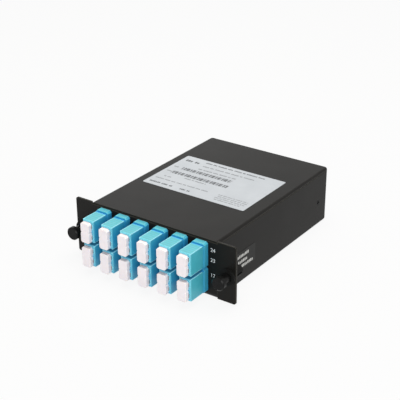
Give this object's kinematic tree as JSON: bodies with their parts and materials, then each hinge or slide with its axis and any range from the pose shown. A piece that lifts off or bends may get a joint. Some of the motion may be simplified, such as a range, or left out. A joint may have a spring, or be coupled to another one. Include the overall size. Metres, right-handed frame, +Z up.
{
  "type": "fibre optic patch cassette",
  "caption": "Flat black steel cassette with duplex fibre adapters on its front panel, white dust caps, a push-pull latch in each ear and trunk adapters behind.",
  "frame": {"origin": "centre of the tray's underside", "axes": "+X along the front panel to the right as seen from the front, +Y from the front panel into the box, +Z up"},
  "size_m": [0.106, 0.1447, 0.0342],
  "materials": {
    "black_steel": "fine powder coat",
    "aqua_plastic": "moulded",
    "white_plastic": "moulded",
    "black_plastic": "moulded",
    "grey_plastic": "moulded",
    "spring_steel": "rolled",
    "black_screw": "black oxide",
    "silver_label": "printed film",
    "black_seal": "printed film"
  },
  "bodies": {
    "cassette": {"adapter_clips": "spring_steel", "base_tray": "black_steel", "inner_plugs_lower": "white_plastic", "inner_plugs_upper": "white_plastic", "latch_rivet_left": "black_plastic", "latch_rivet_right": "black_plastic", "lc_adapter_01": "aqua_plastic", "lc_adapter_02": "aqua_plastic", "lc_adapter_03": "aqua_plastic", "lc_adapter_04": "aqua_plastic", "lc_adapter_05": "aqua_plastic", "lc_adapter_06": "aqua_plastic", "lc_adapter_07": "aqua_plastic", "lc_adapter_08": "aqua_plastic", "lc_adapter_09": "aqua_plastic", "lc_adapter_10": "aqua_plastic", "lc_adapter_11": "aqua_plastic", "lc_adapter_12": "aqua_plastic", "lid_screws": "black_screw", "mpo_adapter_left": "black_plastic", "mpo_adapter_right": "black_plastic", "mpo_plug_left": "black_plastic", "mpo_plug_right": "black_plastic", "side_seal": "black_seal", "top_label": "silver_label", "top_lid": "black_steel"},
    "dust_cap_01": {"dust_cap_01": "white_plastic"},
    "dust_cap_02": {"dust_cap_02": "white_plastic"},
    "dust_cap_03": {"dust_cap_03": "white_plastic"},
    "dust_cap_04": {"dust_cap_04": "white_plastic"},
    "dust_cap_05": {"dust_cap_05": "white_plastic"},
    "dust_cap_06": {"dust_cap_06": "white_plastic"},
    "dust_cap_07": {"dust_cap_07": "white_plastic"},
    "dust_cap_08": {"dust_cap_08": "white_plastic"},
    "dust_cap_09": {"dust_cap_09": "white_plastic"},
    "dust_cap_10": {"dust_cap_10": "white_plastic"},
    "dust_cap_11": {"dust_cap_11": "white_plastic"},
    "dust_cap_12": {"dust_cap_12": "white_plastic"},
    "mpo_cap_left": {"mpo_cap_left": "grey_plastic"},
    "mpo_cap_right": {"mpo_cap_right": "grey_plastic"},
    "latch_plunger_left": {"latch_plunger_left": "black_plastic"},
    "latch_plunger_right": {"latch_plunger_right": "black_plastic"}
  },
  "joints": [
    {"name": "dust_cap_01_pull", "type": "slide", "parent": "cassette", "child": "dust_cap_01", "axis": [0, -1, 0], "range_m": [0, 0.012]},
    {"name": "dust_cap_02_pull", "type": "slide", "parent": "cassette", "child": "dust_cap_02", "axis": [0, -1, 0], "range_m": [0, 0.012]},
    {"name": "dust_cap_03_pull", "type": "slide", "parent": "cassette", "child": "dust_cap_03", "axis": [0, -1, 0], "range_m": [0, 0.012]},
    {"name": "dust_cap_04_pull", "type": "slide", "parent": "cassette", "child": "dust_cap_04", "axis": [0, -1, 0], "range_m": [0, 0.012]},
    {"name": "dust_cap_05_pull", "type": "slide", "parent": "cassette", "child": "dust_cap_05", "axis": [0, -1, 0], "range_m": [0, 0.012]},
    {"name": "dust_cap_06_pull", "type": "slide", "parent": "cassette", "child": "dust_cap_06", "axis": [0, -1, 0], "range_m": [0, 0.012]},
    {"name": "dust_cap_07_pull", "type": "slide", "parent": "cassette", "child": "dust_cap_07", "axis": [0, -1, 0], "range_m": [0, 0.012]},
    {"name": "dust_cap_08_pull", "type": "slide", "parent": "cassette", "child": "dust_cap_08", "axis": [0, -1, 0], "range_m": [0, 0.012]},
    {"name": "dust_cap_09_pull", "type": "slide", "parent": "cassette", "child": "dust_cap_09", "axis": [0, -1, 0], "range_m": [0, 0.012]},
    {"name": "dust_cap_10_pull", "type": "slide", "parent": "cassette", "child": "dust_cap_10", "axis": [0, -1, 0], "range_m": [0, 0.012]},
    {"name": "dust_cap_11_pull", "type": "slide", "parent": "cassette", "child": "dust_cap_11", "axis": [0, -1, 0], "range_m": [0, 0.012]},
    {"name": "dust_cap_12_pull", "type": "slide", "parent": "cassette", "child": "dust_cap_12", "axis": [0, -1, 0], "range_m": [0, 0.012]},
    {"name": "mpo_cap_left_pull", "type": "slide", "parent": "cassette", "child": "mpo_cap_left", "axis": [0, 1, 0], "range_m": [0, 0.012]},
    {"name": "mpo_cap_right_pull", "type": "slide", "parent": "cassette", "child": "mpo_cap_right", "axis": [0, 1, 0], "range_m": [0, 0.012]},
    {"name": "latch_plunger_left_push", "type": "slide", "parent": "cassette", "child": "latch_plunger_left", "axis": [0, 1, 0], "range_m": [0, 0.0055]},
    {"name": "latch_plunger_right_push", "type": "slide", "parent": "cassette", "child": "latch_plunger_right", "axis": [0, 1, 0], "range_m": [0, 0.0055]}
  ]
}
